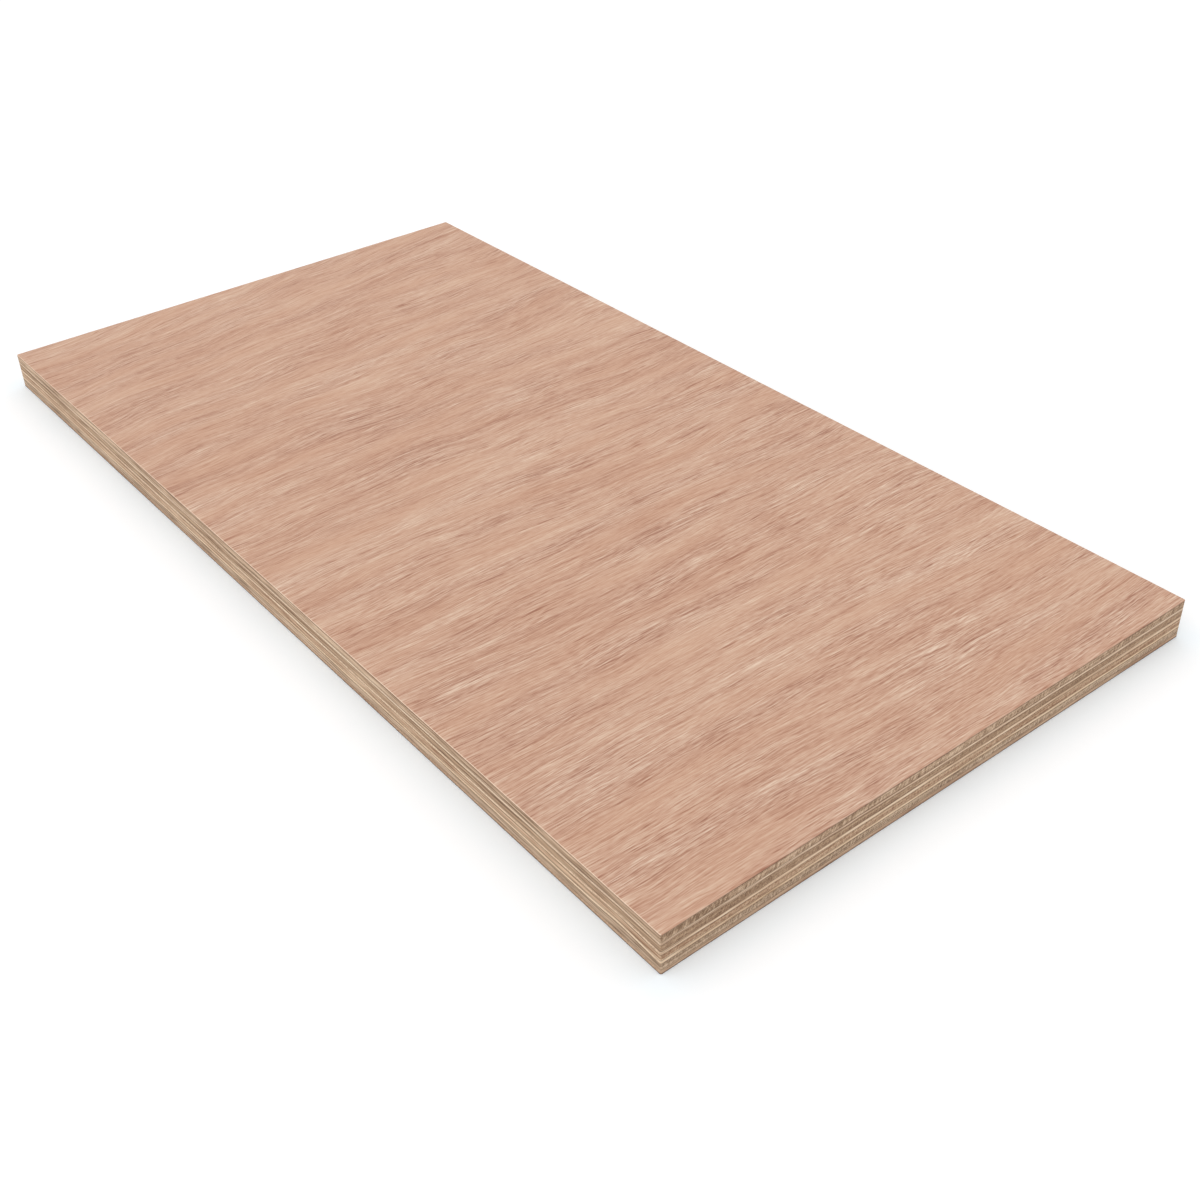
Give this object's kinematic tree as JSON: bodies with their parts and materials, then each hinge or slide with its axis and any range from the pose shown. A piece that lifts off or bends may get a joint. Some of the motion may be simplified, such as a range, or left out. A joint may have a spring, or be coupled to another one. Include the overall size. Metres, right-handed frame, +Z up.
{
  "type": "plywood sheet",
  "caption": "Flat rectangular panel of hardwood plywood with square sawn edges that show its cross-laid veneers, for shelves, boxes, formwork and panelling.",
  "frame": {"origin": "middle of the underside, on the floor that the panel lies on", "axes": "+X along the length, +Y along the width, +Z up through the thickness, out of the face veneer"},
  "size_m": [0.514, 0.267, 0.018],
  "materials": {
    "face_wood": "sanded, unfinished",
    "grey_tan_wood": "sawn, unfinished",
    "light_wood": "sawn, unfinished",
    "brown_wood": "sawn, unfinished",
    "tan_wood": "sawn, unfinished",
    "back_wood": "sanded, unfinished"
  },
  "bodies": {
    "root": {"face_veneer": "face_wood", "upper_thick_ply": "grey_tan_wood", "upper_thin_ply": "light_wood", "dark_thick_ply": "brown_wood", "centre_thin_ply": "light_wood", "tan_thick_ply": "tan_wood", "lower_thin_ply": "light_wood", "lower_thick_ply": "grey_tan_wood", "back_veneer": "back_wood"}
  },
  "joints": []
}
